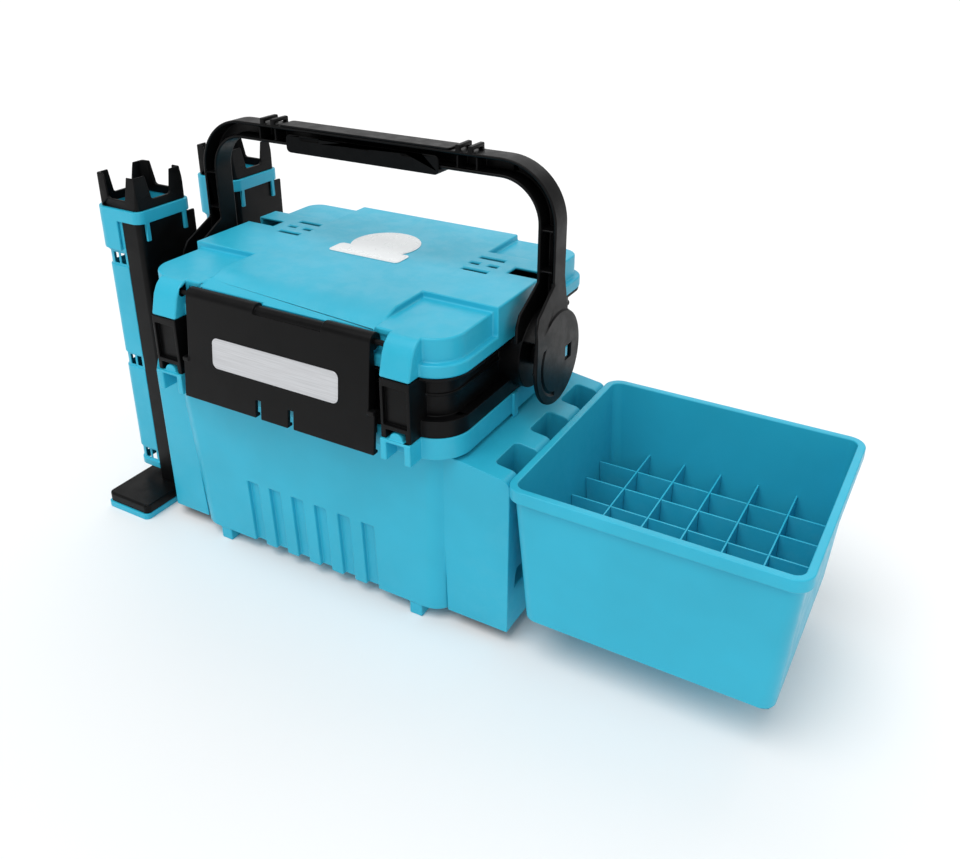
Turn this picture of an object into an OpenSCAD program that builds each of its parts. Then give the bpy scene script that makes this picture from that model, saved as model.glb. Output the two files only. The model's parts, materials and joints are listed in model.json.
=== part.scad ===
// Fishing tackle cabinet: a moulded tub with hollow end wings, a black mid frame that carries a
// bail handle, a hinged lid with a front latch, two hook-on rod holders and a hook-on jig box.
// Millimetres, +Z up, the front faces -Y. The origin is under the middle of the whole assembly.

/* [Tub] */
// Width of the tub's rim, end to end
rim_w = 354; // [346:1:364]
// Depth of the tub's rim, front to back
rim_d = 272; // [264:1:280]
// Radius of the rim's corners
rim_r = 34; // [28:1:40]
// Radius of the rim's rear corners
rim_rear_r = 23; // [22:1:34]
// Height of the rim's top edge above the floor
rim_z = 216; // [211:1:226]
// Height of the band that hangs round the rim
rim_h = 21; // [14:1:22]
// How far the band stands out from the wall
rim_out = 11; // [8:1:13]
// Wall thickness of the large mouldings
wall = 3; // [2.5:0.1:3.4]
// How much each wall leans in between rim and floor
wall_lean = 10; // [4:1:14]
// Height of the tub's underside above the floor
foot_h = 14; // [8:1:18]
// Side of each square foot
foot_w = 14; // [10:1:20]
// Distance of each foot's centre from the middle plane
foot_x = 122; // [110:1:132]
// Number of grooves in the front wall
groove_n = 6; // [3:1:7]
// Distance between neighbouring grooves
groove_pitch = 28.7; // [24:0.1:31]
// Width of a groove
groove_w = 14.2; // [8:0.1:17]
// Depth of a groove
groove_depth = 4.5; // [2:0.1:6]
// Height of the grooves' top ends above the floor
groove_z = 90; // [60:1:130]

/* [Front corner brackets] */
// Distance from the middle plane to a bracket's inner side
bracket_x = 116; // [114:1:120]
// Width of a bracket
bracket_w = 31; // [26:1:34]
// How far a bracket stands forward of the rim
bracket_out = 17; // [14:1:20]
// Width of a bracket's legs
bracket_leg = 6.5; // [4:0.1:8]

/* [Wings] */
// How far a wing stands out from the wall it grows from
wing_w = 57; // [51:1:62]
// Length of a wing, front to back
wing_d = 210; // [205:1:216]
// How far the wings sit behind the tub's middle
wing_shift = -13; // [-15:1:-9]
// Height of a wing's top at the tub
wing_z = 194; // [188:1:195]
// Fall of a wing's top from the tub to its outer edge
wing_fall = 8; // [4:1:12]
// How much a wing's outer wall leans in toward the floor
wing_lean = 5; // [0:1:8]
// Radius of a wing's outer top edge
wing_r = 9; // [5:1:12]
// How far the left wing's front corner is cut back
wing_cut = 32; // [24:1:33]
// Distance between neighbouring pockets
pocket_pitch = 66; // [62:1:68]
// How far the left wing's pockets sit behind the tub's middle
left_pocket_y = 2; // [0:1:3]
// Length of a pocket, front to back
pocket_l = 40; // [36:1:44]
// Distance from a pocket's inner wall to the wing's outer face
pocket_w = 24.5; // [22:0.5:27]
// Height of a pocket's floor above the tub's underside
pocket_floor = 46; // [30:1:60]
// Height of the sill that accessories hook over
sill_z = 150; // [140:1:160]

/* [Mid frame] */
// Height of the mid frame
frame_h = 57; // [54:1:62]
// How far the mid frame's foot sits in from the rim
frame_inset = 1; // [0.5:0.1:2]
// Height of the mid frame's foot
frame_foot = 16; // [12:1:20]
// How far the mid frame's waist sits in from the rim
waist_inset = 11; // [9:0.5:12]
// Width of the ledge that carries the tray, inside the waist
ledge_w = 10; // [8:0.5:12]
// Thickness of the ledge and of the frame's top flange
ledge_t = 3; // [2:0.1:4]
// Depth of the panel sunk in each corner pillar
panel_depth = 4; // [2:0.1:5]
// Radius of the round seat behind each handle disc
seat_r = 34; // [30:1:36]

/* [Lid] */
// Height of the lid
lid_h = 40; // [36:1:44]
// Height of the lid's lower band
band_h = 12; // [9:1:15]
// How far the corner pads sit in from the band
pad_inset = 6; // [4:0.5:8]
// How far the corner pads lie below the lid's top
pad_drop = 6; // [4:0.5:9]
// Width of the raised bar that runs front to back
bar_w = 199; // [180:1:210]
// Front edge of the raised band that runs end to end
arm_front = -55; // [-65:1:-45]
// Back edge of the raised band that runs end to end
arm_back = 67; // [55:1:75]
// Where the sloping front of the lid's top begins
slope_y = -97; // [-104:1:-88]
// Fall of the sloping front
slope_fall = 12; // [6:1:14]
// Clearance between the mid frame and the lid's underside
seam_gap = 0.4; // [0.2:0.1:0.8]
// Width of the rubber seal
seal_w = 3; // [2:0.1:3.4]
// Height of the rubber seal
seal_h = 3; // [2:0.1:4]
// Length of the accessory slots in the lid
slot_l = 27; // [20:1:32]
// Width of the accessory slots in the lid
slot_w = 5; // [3:0.5:6]
// Distance between the two long slots of a set
slot_pitch = 35; // [28:1:38]
// Width of the notch in each end of the lid
notch_w = 18; // [12:1:22]
// Depth of the notch in each end of the lid
notch_l = 34; // [26:1:38]
// Distance of the notches and slots behind the middle
notch_y = 32; // [29:1:35]

/* [Lid hinge] */
// How far the lid's hinge axis lies behind the band
hinge_out = 4; // [3:0.5:6]
// How far the lid's hinge axis lies below the lid's lower edge
hinge_drop = 9; // [8.5:0.5:11]
// Outer radius of the hinge knuckles
knuckle_r = 5.5; // [5:0.5:6]
// Radius of the lid's hinge pins
hinge_pin_r = 2.5; // [2:0.1:3]
// Distance from the middle plane to the middle of each lid hinge
hinge_x = 75; // [60:1:80]
// Length of the knuckle on the lid
hinge_l = 30; // [20:1:36]
// Length of each knuckle on the mid frame
ear_l = 9; // [6:1:12]
// Gap between neighbouring knuckles
ear_gap = 0.5; // [0.3:0.1:1]

/* [Latch] */
// Width of the latch plate's lower part
latch_w = 221; // [214:1:224]
// How much narrower the plate's upper part is at each end
latch_neck = 6; // [3:0.5:7]
// Height of the plate's wide lower part
latch_wide_h = 38; // [30:1:50]
// Thickness of the latch plate
latch_t = 4; // [3:0.1:5]
// How far the plate's lower edge stands forward of the rim
latch_out = 19; // [17.5:0.5:21]
// How far the latch plate hangs below the rim's top edge
latch_drop = 19; // [14:0.5:20]
// How far the latch's pin lies forward of the rim
latch_pin_out = 1; // [0:0.5:2]
// Depth of the latch's pin below the lid's top
latch_pin_drop = 16; // [15:0.5:17]
// Radius of the latch's pin
latch_pin_r = 2.5; // [2:0.1:3]
// Outer radius of the rolled edge round the latch's pin
curl_r = 8; // [7:0.5:8.5]
// Clearance between the rolled edge and its trough in the lid
trough_gap = 0.6; // [0.4:0.1:1]
// Radius of the rolled edge's waist
waist_r = 5.6; // [5:0.1:6.5]
// Middle of the rolled edge's waist, right of the middle plane
waist_mid = 15; // [0:1:20]
// Length of the rolled edge's waist
waist_w = 76; // [60:1:90]
// How far the latch's pin reaches into the lid at each end
latch_pin_bite = 8; // [5:1:12]
// Distance from the middle plane to each latch slit
slit_x = 19; // [12:1:40]
// Width of a latch slit
slit_w = 6; // [4:0.5:8]
// Height of a latch slit
slit_h = 18; // [16:0.5:24]
// How far the catches behind the slits stand out from the rim
catch_out = 5; // [2:0.5:6]
// Width of the bare plate on the latch
label_w = 145; // [100:1:170]
// Height of the bare plate on the latch
label_h = 30; // [20:1:40]
// Thickness of the bare plates
label_t = 0.8; // [0.5:0.1:1.2]
// Radius of the round plate on the lid
badge_r = 36; // [24:1:40]
// Width of the bar across the round plate
badge_bar_w = 84; // [60:1:90]
// Distance of the round plate behind the middle
badge_y = 33; // [20:1:36]

/* [Handle] */
// Distance of the handle's axis behind the middle
pivot_y = -1; // [-6:1:4]
// Height of the handle's axis above the rim
pivot_up = 35; // [34:1:38]
// Clearance between each handle disc and its seat
disc_gap = 0.6; // [0.4:0.1:1]
// How far each seat stands out from the rim
seat_out = 10.4; // [9:0.1:12]
// Thickness of each handle disc
disc_t = 23; // [18:0.5:26]
// Radius of each handle disc
disc_r = 45; // [41:1:46]
// Height of the handle's top above its axis
bail_h = 179; // [176:1:190]
// Width of the handle's arms, seen from the front
arm_w = 18; // [16:0.5:20]
// Depth of the handle's arms, front to back
arm_d = 23; // [20:0.5:26]
// How far the arms reach forward of the handle's axis
arm_front_d = 4.5; // [3:0.5:8]
// Outer radius of the handle's top corners
bail_r = 56; // [45:1:70]
// Wall thickness of the handle's channel
channel_t = 3; // [2.5:0.1:4]
// Depth of the handle's open channel
channel_d = 18; // [10:0.5:18.5]
// Radius of the handle's pins
pin_r = 8; // [6:0.5:10]
// Running clearance of every pin in its bore
pin_fit = 0.05; // [0.03:0.01:0.08]
// How far each handle pin reaches into its disc
pin_bite = 16; // [10:0.5:17]
// Radius of each handle pin's head
head_r = 12; // [11:0.5:13]
// Thickness of each handle pin's head
head_t = 3; // [2:0.5:4]
// Width of the grip
grip_w = 176; // [140:1:190]
// How far the grip stands out from the bar, in front and behind
grip_out = 2.5; // [1.5:0.1:4]
// Thickness of the grip below the bar
grip_t = 6; // [4:0.5:8]
// Thickness of the strip on top of the bar
cap_t = 2; // [1:0.1:3]
// Width of the strip on top of the bar
cap_w = 196; // [180:1:204]
// Distance from the middle plane to the inner loop of each pair
loop_x = 104; // [103:1:108]
// Distance between the two loops of a pair
loop_pitch = 13; // [9:1:16]
// Height of a loop above the bar
loop_h = 6; // [5:0.5:8]
// Thickness of a loop
loop_t = 5; // [4:0.5:6]

/* [Rod holders] */
// Clearance between a hooked-on accessory and the wing
hang_gap = 1.5; // [1:0.1:3]
// Width of a rod holder, front to back
holder_w = 68; // [62:1:72]
// Depth of a rod holder, outward from the wing
holder_d = 60; // [56:1:66]
// Front side of the first rod holder
holder_front_y = -84; // [-86:1:-80]
// Front side of the second rod holder
holder_rear_y = 57; // [53:1:59]
// Radius of a rod holder's outer corners
holder_r = 12; // [9:1:15]
// Radius of a rod holder's corners beside the wing
holder_in_r = 7; // [5:0.5:9]
// Depth of the black back channel
back_d = 26; // [20:1:30]
// Height of a rod holder's collar above the floor
collar_z = 330; // [318:1:345]
// Height of the collar
collar_h = 13; // [10:1:18]
// Thickness of the collar
collar_t = 3; // [2:0.1:4]
// How far the collar's skirt hangs on the outer side
skirt_h = 32; // [20:1:40]
// Height of the crown above the collar
crown_h = 34; // [30:1:40]
// Height of the solid ring at the crown's foot
crown_ring = 9; // [6:1:12]
// Width of the gaps between the crown's prongs
crown_gap = 26; // [20:1:30]
// How much each gap between the prongs widens toward its top
crown_flare = 10; // [4:1:14]
// How much the crown's outer faces lean in
crown_lean = 3; // [1:0.5:4]
// Height of a lattice window in the outer channel
lattice_h = 16; // [12:1:20]
// Height of the lowest lattice window above the floor
lattice_z = 39; // [34:1:44]
// Distance between neighbouring lattice windows
lattice_pitch = 120; // [112:1:122]
// Thickness of the blue tray under each rod holder
tray_t = 7; // [6:0.5:9]
// Thickness of the black foot plate
plate_t = 11; // [8:0.5:12]
// How far the foot reaches forward of its rod holder
toe_l = 50; // [40:1:54]
// Width of each hook
hook_w = 12; // [8:1:14]
// Thickness of each hook
hook_t = 5; // [4:0.5:6]
// How far each hook reaches down behind the sill
hook_l = 30; // [20:1:36]

/* [Jig box] */
// Width of the jig box over its lip
jig_w = 250; // [230:1:260]
// Depth of the jig box over its lip
jig_d = 233; // [222:1:240]
// Front side of the jig box
jig_y = -132; // [-136:1:-128]
// Height of the jig box's rim above the floor
jig_z = 189; // [184:1:191]
// Height of the jig box
jig_h = 141; // [128:1:150]
// Height of the lip
lip_h = 12; // [8:0.5:14]
// How far the lip stands out from the wall
lip_out = 4; // [3:0.5:5]
// How much each wall of the jig box leans in
jig_lean = 10; // [5:1:12]
// Radius of the jig box's corners
jig_r = 16; // [14:1:22]
// Number of cells along the width
cells_x = 6; // [4:1:7]
// Number of cells along the depth
cells_y = 6; // [4:1:7]
// Height of the cell strips
strip_h = 68; // [50:1:80]
// Thickness of the cell strips
strip_t = 1.6; // [1.2:0.1:2]
// Clearance of the cell strips to each other and to the box
strip_gap = 0.2; // [0.1:0.05:0.3]

/* [Inner tray] */
// Depth of the lift-out tray
itray_h = 62; // [45:1:80]
// Wall thickness of the lift-out tray
itray_t = 2; // [1.6:0.1:3]
// Clearance of the tray to the ledge's opening
itray_gap = 3; // [2:0.1:5]
// How far the tray's lip rests on the ledge
itray_lip = 6.5; // [5:0.1:8]
// Number of compartments in the tray
itray_cells = 3; // [2:1:5]

/* [Hidden] */
$fn = 48;
blue = "deepskyblue";
black = "dimgray";
eps = 0.01;
// Where the walls stand
wall_x = rim_w / 2 - rim_out;
wall_y = rim_d / 2 - rim_out;
wall_r = rim_r - rim_out;
wing_x = wall_x + wing_w;
wing_out_z = wing_z - wing_fall;
pocket_x = wing_x - pocket_w;
frame_top = rim_z + frame_h - seam_gap;
lid_z = rim_z + frame_h;
lid_top = lid_z + lid_h;
band_top = lid_z + band_h;
pad_top = lid_top - pad_drop;
bracket_mid = bracket_x + bracket_w / 2;
bracket_y = rim_d / 2 + bracket_out;
bracket_root = 6;
// Axes of the three hinges
hinge_y = rim_d / 2 + hinge_out;
hinge_z = lid_z - hinge_drop;
latch_y = -(rim_d / 2 + latch_pin_out);
latch_z = lid_top - latch_pin_drop;
latch_low_y = -(rim_d / 2 + latch_out);
latch_low_z = rim_z - latch_drop;
latch_top_y = latch_y - curl_r;
waist_x0 = waist_mid - waist_w / 2;
waist_x1 = waist_mid + waist_w / 2;
pivot_z = rim_z + pivot_up;
// The handle's disc, arm and bar
seat_x = rim_w / 2 + seat_out;
disc_x = seat_x + disc_gap;
arm_x = disc_x + arm_w;
bail_z = pivot_z + bail_h;
arm_front_y = pivot_y - arm_front_d;
arm_back_y = arm_front_y + arm_d;
waist_x = rim_w / 2 - waist_inset;
waist_y = rim_d / 2 - waist_inset;
frame_in_x = waist_x - wall;
// Faces that the accessories hang against
hang_x = wing_x + hang_gap;
hook_in = hang_gap + wall + 2;
foot_top = tray_t + plate_t;
// The jig box's inside
jig_x = hang_x + jig_w / 2;
jig_mid = jig_y + jig_d / 2;
jig_floor = jig_z - jig_h;
jig_in = lip_out + wall + jig_lean;
cell_w = jig_w - 2 * jig_in - 2 * strip_gap;
cell_d = jig_d - 2 * jig_in - 2 * strip_gap;
strip_grow = 2 * jig_lean * strip_h / jig_h;
cell_px = (cell_w + strip_grow / 2) / cells_x;
cell_py = (cell_d + strip_grow / 2) / cells_y;
// The lift-out tray
itray_in = waist_inset + ledge_w + itray_gap;
itray_w = rim_w - 2 * itray_in;
itray_d = rim_d - 2 * itray_in;
itray_r = max(4, rim_r - itray_in);
ledge_z = rim_z + ledge_t;
// The middle of the whole assembly's footprint
left_x = -(hang_x + holder_d + collar_t);
right_x = hang_x + jig_w;
front_y = latch_low_y;
back_y = max(jig_y + jig_d, hinge_y + knuckle_r);
mid_x = (left_x + right_x) / 2;
mid_y = (front_y + back_y) / 2;

function wall_lean_at(z) = wall_lean * (rim_z - z) / rim_z;
function plate_y(z) = latch_low_y + (latch_top_y - latch_low_y) * (z - latch_low_z) / (latch_z - latch_low_z);
function front_at(z) = -(wall_y - wall_lean_at(z));

module place() { translate([-mid_x, -mid_y, 0]) children(); }
module both_ends() { children(); mirror([1, 0, 0]) children(); }
module box(x0, x1, y0, y1, z0, z1) { translate([x0, y0, z0]) cube([x1 - x0, y1 - y0, z1 - z0]); }

// A rectangle with round corners, centred
module round_rect(w, d, r) {
    square([w - 2 * r, d], center = true);
    square([w, d - 2 * r], center = true);
    for (x = [-1, 1], y = [-1, 1]) translate([x * (w / 2 - r), y * (d / 2 - r)]) circle(r);
}

// A rectangle with four corner radii, from its lowest corner round
module corner_rect(x0, x1, y0, y1, r) {
    polygon([[x0 + r[0], y0], [x1 - r[1], y0], [x1, y0 + r[1]], [x1, y1 - r[2]],
        [x1 - r[2], y1], [x0 + r[3], y1], [x0, y1 - r[3]], [x0, y0 + r[0]]]);
    translate([x0 + r[0], y0 + r[0]]) circle(r[0]);
    translate([x1 - r[1], y0 + r[1]]) circle(r[1]);
    translate([x1 - r[2], y1 - r[2]]) circle(r[2]);
    translate([x0 + r[3], y1 - r[3]]) circle(r[3]);
}

// The rim's outline, drawn in by a distance
module outline(inset) {
    x = rim_w / 2 - inset;
    y = rim_d / 2 - inset;
    front = rim_r - inset;
    rear = rim_rear_r - inset;
    corner_rect(-x, x, -y, y, [front, front, rear, rear]);
}
module outline_ring(outer, inner) { difference() { outline(outer); outline(inner); } }
module slab(z, h) { translate([0, 0, z]) linear_extrude(h) children(); }

// A rod along X with a given middle
module rod_x(x0, x1, y, z, r) { translate([x0, y, z]) rotate([0, 90, 0]) cylinder(r = r, h = x1 - x0); }
module profile_x(x0, x1) {
    translate([x0, 0, 0]) rotate([90, 0, 90]) linear_extrude(x1 - x0) children();
}
module profile_y(y0, y1) {
    translate([0, y1, 0]) rotate([90, 0, 0]) linear_extrude(y1 - y0) children();
}

// The tub's leaning walls between two heights
module leaning(inset, z0, z1) {
    hull() {
        for (z = [z0, z1 - eps]) slab(z, eps)
            round_rect(2 * (wall_x - wall_lean_at(z) - inset), 2 * (wall_y - wall_lean_at(z) - inset),
                wall_r - inset);
    }
}

module groove_shape(i, grow) {
    x = (i - (groove_n - 1) / 2) * groove_pitch;
    z = groove_z + grow;
    d = groove_depth + grow;
    floor_z = grow > 0 ? foot_h : -1;
    out = grow > 0 ? 0 : -4;
    profile_x(x - groove_w / 2 - grow, x + groove_w / 2 + grow)
        polygon([[front_at(z) + out, z], [front_at(z) + d, z],
            [front_at(floor_z) + d, floor_z], [front_at(floor_z) + out, floor_z]]);
}

// A wing's outer shape on the right end, drawn in by a wall, with its front corner cut back
module wing_shape(inset, cut) {
    base = inset > 0 ? -1 : foot_h;
    top_in = wing_z - inset;
    top_out = wing_out_z - inset;
    out = wing_x - inset;
    r = max(1, wing_r - inset);
    y0 = wing_shift - wing_d / 2 + inset;
    y1 = wing_shift + wing_d / 2 - inset;
    c = cut - (2 - sqrt(2)) * inset;
    difference() {
        intersection() {
            profile_y(y0, y1) {
                polygon([[wall_x - wall_lean - 2, base], [out - wing_lean, base],
                    [out, top_out - r], [out - r, top_out], [wall_x - wall_lean - 2, top_in]]);
                translate([out - r, top_out - r]) circle(r);
            }
            profile_x(0, wing_x + 1)
                polygon([[y0 + wall_lean, base], [y1 - wall_lean, base], [y1, wing_z], [y0, wing_z]]);
        }
        if (cut > 0)
            slab(-2, wing_z + 4)
                polygon([[out - c - 2, y0 - 2], [out + 2, y0 - 2], [out + 2, y0 + c + 2]]);
    }
}

module pockets(grow, middle) {
    z0 = foot_h + pocket_floor - grow;
    for (i = [-1 : 1]) {
        y = middle + i * pocket_pitch;
        slab(z0, wing_z - z0 + 2)
            translate([pocket_x + pocket_w / 2 - wall / 2, y])
                round_rect(pocket_w - wall + 2 * grow, pocket_l + 2 * grow, 5);
        if (grow == 0)
            box(pocket_x + pocket_w / 2, wing_x + 5, y - pocket_l / 2, y + pocket_l / 2, sill_z,
                wing_z + 2);
    }
}

module wing(cut, middle) {
    difference() {
        wing_shape(0, cut);
        difference() { wing_shape(wall, cut); pockets(wall, middle); }
        pockets(0, middle);
    }
}

// The n-shaped bracket at a front corner, with the stud that holds the mid frame
module bracket() {
    x1 = bracket_x + bracket_w;
    stud_r = 7;
    box(bracket_x, x1, -bracket_y, -rim_d / 2 + bracket_root, rim_z - wall, rim_z);
    for (x = [bracket_x, x1 - bracket_leg])
        box(x, x + bracket_leg, -bracket_y, -rim_d / 2 + 1, rim_z - rim_h, rim_z);
    intersection() {
        translate([bracket_mid, -rim_d / 2 - 2, rim_z]) rotate([90, 0, 0]) cylinder(r = stud_r,
            h = bracket_out - 4);
        box(bracket_x, x1, -bracket_y, 0, rim_z - 1, rim_z + stud_r);
    }
}

module tub() {
    foot_y = wall_y - wall_lean - foot_w / 2;
    catch_z = latch_low_z + slit_h - 4;
    color(blue) place() difference() {
        union() {
            difference() {
                leaning(0, foot_h, rim_z);
                leaning(wall, foot_h + wall, rim_z + 1);
            }
            // Rim band and its top
            slab(rim_z - rim_h, rim_h) outline_ring(0, wall);
            slab(rim_z - wall, wall) difference() {
                outline(0);
                round_rect(2 * (wall_x - wall), 2 * (wall_y - wall), wall_r - wall);
            }
            difference() {
                union() {
                    wing(0, wing_shift);
                    mirror([1, 0, 0]) wing(wing_cut, left_pocket_y);
                }
                leaning(wall / 2, foot_h - 1, rim_z);
            }
            both_ends() {
                bracket();
                for (s = [-1, 1])
                    translate([foot_x, s * foot_y, 0])
                        translate([-foot_w / 2, -foot_w / 2, 0]) cube([foot_w, foot_w, foot_h + wall]);
                // Rib on the rim in front of the handle's disc
                box(rim_w / 2 - 1, rim_w / 2 + 2, pivot_y - disc_r + 20, pivot_y - disc_r + 29,
                    rim_z - rim_h - 4, rim_z);
                // Catch behind the latch's slit
                box(slit_x - slit_w / 2, slit_x + slit_w / 2, -rim_d / 2 - catch_out,
                    -rim_d / 2 + 1, latch_low_z + 4,
                    catch_z);
            }
            for (i = [0 : groove_n - 1]) groove_shape(i, wall);
        }
        for (i = [0 : groove_n - 1]) groove_shape(i, 0);
    }
}

// Corner pillar of the mid frame, hollow, with its sunk panel and its notch for the stud
module pillar() {
    gap = 0.5;
    x0 = bracket_x + gap;
    x1 = bracket_x + bracket_w - gap;
    y0 = -bracket_y + 2;
    notch_h = 9;
    difference() {
        box(x0, x1, y0, -waist_y + 1, rim_z, frame_top);
        box(x0 + wall + 1, x1 - wall - 1, y0 + wall + panel_depth, -waist_y - 1, rim_z - 1,
            frame_top - wall);
        box(x0 + wall, x1 - wall, y0 - 1, y0 + panel_depth, rim_z + 13, frame_top - 7);
        box(x0 + 5, x1 - 5, y0 - 1, y0 + bracket_out, rim_z - 1, rim_z + notch_h);
    }
}

module frame_ear(x0, x1) {
    top_z = frame_top - ledge_t;
    rod_x(x0, x1, hinge_y, hinge_z, knuckle_r);
    profile_x(x0, x1) polygon([[waist_y - 1, hinge_z - knuckle_r - 20], [hinge_y, hinge_z - knuckle_r],
        [hinge_y, hinge_z], [hinge_y - knuckle_r, hinge_z + 1], [hinge_y - knuckle_r - 2, top_z],
            [waist_y - 1, top_z]]);
}

module mid_frame() {
    rib_h = 2.5;
    rib_z = rim_z + 36;
    color(black) place() difference() {
        union() {
            // Foot with its top ledge, waist, thin belt and top flange
            slab(rim_z, frame_foot) outline_ring(frame_inset, frame_inset + wall);
            slab(rim_z + frame_foot - wall, wall) outline_ring(frame_inset, waist_inset + wall);
            slab(rim_z, frame_top - rim_z) outline_ring(waist_inset, waist_inset + wall);
            slab(rim_z, ledge_t) outline_ring(frame_inset, waist_inset + ledge_w);
            slab(rib_z, rib_h) outline_ring(waist_inset - 1.5, waist_inset + 1);
            slab(frame_top - ledge_t, ledge_t) outline_ring(frame_inset, waist_inset + wall);
            both_ends() {
                pillar();
                intersection() {
                    rod_x(frame_in_x, seat_x, pivot_y, pivot_z, seat_r);
                    box(frame_in_x - 1, seat_x + 1, pivot_y - seat_r, pivot_y + seat_r, rim_z,
                        frame_top);
                }
                for (s = [-1, 1]) {
                    e0 = s > 0 ? hinge_x + hinge_l / 2 + ear_gap : hinge_x - hinge_l / 2 - ear_gap - ear_l;
                    frame_ear(e0, e0 + ear_l);
                }
            }
        }
        both_ends() {
            // Room for the stud behind each pillar, then the bores
            box(bracket_x + 5.5, bracket_x + bracket_w - 5.5, -bracket_y + 1, -rim_d / 2 + 3,
                rim_z - 1, rim_z + 9);
            rod_x(frame_in_x - ledge_w, seat_x + 1, pivot_y, pivot_z, pin_r + pin_fit);
            rod_x(hinge_x - hinge_l, hinge_x + hinge_l, hinge_y, hinge_z, hinge_pin_r + pin_fit);
        }
    }
}

module handle_pin() {
    rod_x(frame_in_x - head_t, frame_in_x, pivot_y, pivot_z, head_r);
    rod_x(frame_in_x - eps, disc_x + pin_bite, pivot_y, pivot_z, pin_r);
}
module handle_pin_left() { color("silver") place() mirror([1, 0, 0]) handle_pin(); }
module handle_pin_right() { color("silver") place() handle_pin(); }

// The lid's outer shape, drawn in by a wall for its hollow
module lid_shape(t) {
    base = t > 0 ? lid_z - 1 : lid_z;
    low = band_top - t - 1;
    difference() {
        union() {
            slab(base, band_top - t - base) outline(t);
            slab(base, pad_top - t - base) outline(pad_inset + t);
            box(-rim_w / 2 + t, rim_w / 2 - t, arm_front + t, arm_back - t, low, lid_top - t);
            box(-bar_w / 2 + t, bar_w / 2 - t, -rim_d / 2 + t, rim_d / 2 - pad_inset - t, low,
                lid_top - t);
        }
        // The middle of the lid slopes down to the latch
        profile_x(-bar_w / 2 - t, bar_w / 2 + t)
            polygon([[slope_y, lid_top - t], [-rim_d / 2 - 1, lid_top - t - slope_fall],
                [-rim_d / 2 - 1, lid_top + 1], [slope_y, lid_top + 1]]);
    }
}

// A front block, which leans back toward its top
module lid_block() {
    y0 = -bracket_y + 2;
    y1 = -rim_d / 2 + 14;
    profile_x(bracket_x, bracket_x + bracket_w - 0.5)
        polygon([[y0, lid_z], [y1, lid_z], [y1, pad_top], [y0 + 19, pad_top], [y0 + 15, pad_top - 1.5],
            [y0 + 10, pad_top - 6], [y0 + 5.5, pad_top - 14]]);
}

// The trough for the latch's rolled edge, widened by a distance
module trough(grow) {
    x0 = -bracket_x + eps;
    x1 = bracket_x - eps;
    rod_x(x0, waist_x0, latch_y, latch_z, curl_r + trough_gap + grow);
    rod_x(waist_x1, x1, latch_y, latch_z, curl_r + trough_gap + grow);
    rod_x(waist_x0 - grow - 1, waist_x1 + grow + 1, latch_y, latch_z, waist_r + trough_gap + grow);
}

module lid_knuckle() {
    x0 = hinge_x - hinge_l / 2;
    web_y = rim_d / 2 - frame_inset + 0.6;
    rod_x(x0, x0 + hinge_l, hinge_y, hinge_z, knuckle_r);
    profile_x(x0, x0 + hinge_l) polygon([[rim_d / 2 - 1, band_top], [rim_d / 2 - 1, lid_z + 1],
        [web_y, lid_z + 0.4], [web_y, hinge_z + 2], [hinge_y, hinge_z], [hinge_y + knuckle_r, hinge_z],
        [hinge_y + knuckle_r, band_top - 5], [rim_d / 2, band_top]]);
}

module slot_set() {
    x = bar_w / 2 + slot_l / 2;
    for (s = [-1, 1]) translate([x, notch_y + s * slot_pitch / 2, 0])
        translate([-slot_l / 2, -slot_w / 2, lid_top - 5]) cube([slot_l, slot_w, 10]);
    for (s = [-1, 1]) translate([x + s * 10, notch_y, lid_top - 5])
        translate([-slot_w, -slot_w / 2, 0]) cube([2 * slot_w, slot_w, 10]);
}

module lid() {
    inner = wall + seal_w + 1;
    seal_room = 20;
    color(blue) place() difference() {
        union() {
            difference() {
                lid_shape(0);
                difference() { lid_shape(wall); trough(wall); }
            }
            // Seat of the seal
            slab(lid_z + seal_h - seam_gap, 3) outline_ring(1, inner + 1);
            both_ends() { lid_block(); lid_knuckle(); }
        }
        slab(lid_z - 1, seal_h + 1 - seam_gap) outline_ring(wall, seal_room);
        both_ends() {
            // Notch over the handle's seat, slots, pin bores and the hollow of a corner block
            box(rim_w / 2 - notch_l, rim_w / 2 + 5, notch_y - notch_w / 2, notch_y + notch_w / 2,
                band_top + 2, lid_top + 1);
            slot_set();
            rod_x(0, bracket_x + latch_pin_bite, latch_y, latch_z, latch_pin_r + pin_fit);
            rod_x(0, hinge_x + hinge_l, hinge_y, hinge_z, hinge_pin_r + pin_fit);
            box(bracket_x + wall + 1, bracket_x + bracket_w - wall - 1, -bracket_y + 2 + wall + 1,
                -rim_d / 2 + wall + 8, lid_z - 1, latch_z - 10);
        }
        // Room for the latch
        box(-bracket_x + eps, bracket_x - eps, -bracket_y - 1, -rim_d / 2, lid_z - 1, lid_top + 1);
        trough(0);
    }
}

module lid_seal() {
    color("gainsboro") place() slab(frame_top, seal_h) outline_ring(wall + 0.2, wall + 0.2 + seal_w);
}

module lid_badge() {
    bar_d = 24;
    color("white") place() slab(lid_top, label_t) translate([-2, badge_y]) {
        circle(badge_r);
        translate([0, -badge_r + 6]) round_rect(badge_bar_w, bar_d, 5);
    }
}

module lid_hinge_pins() {
    reach = hinge_l / 2 + ear_gap + ear_l;
    color("silver") place() both_ends() rod_x(hinge_x - reach, hinge_x + reach, hinge_y, hinge_z,
        hinge_pin_r);
}

module latch_pin() {
    reach = bracket_x + latch_pin_bite - 1;
    color("silver") place() rod_x(-reach, reach, latch_y, latch_z, latch_pin_r);
}

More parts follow.
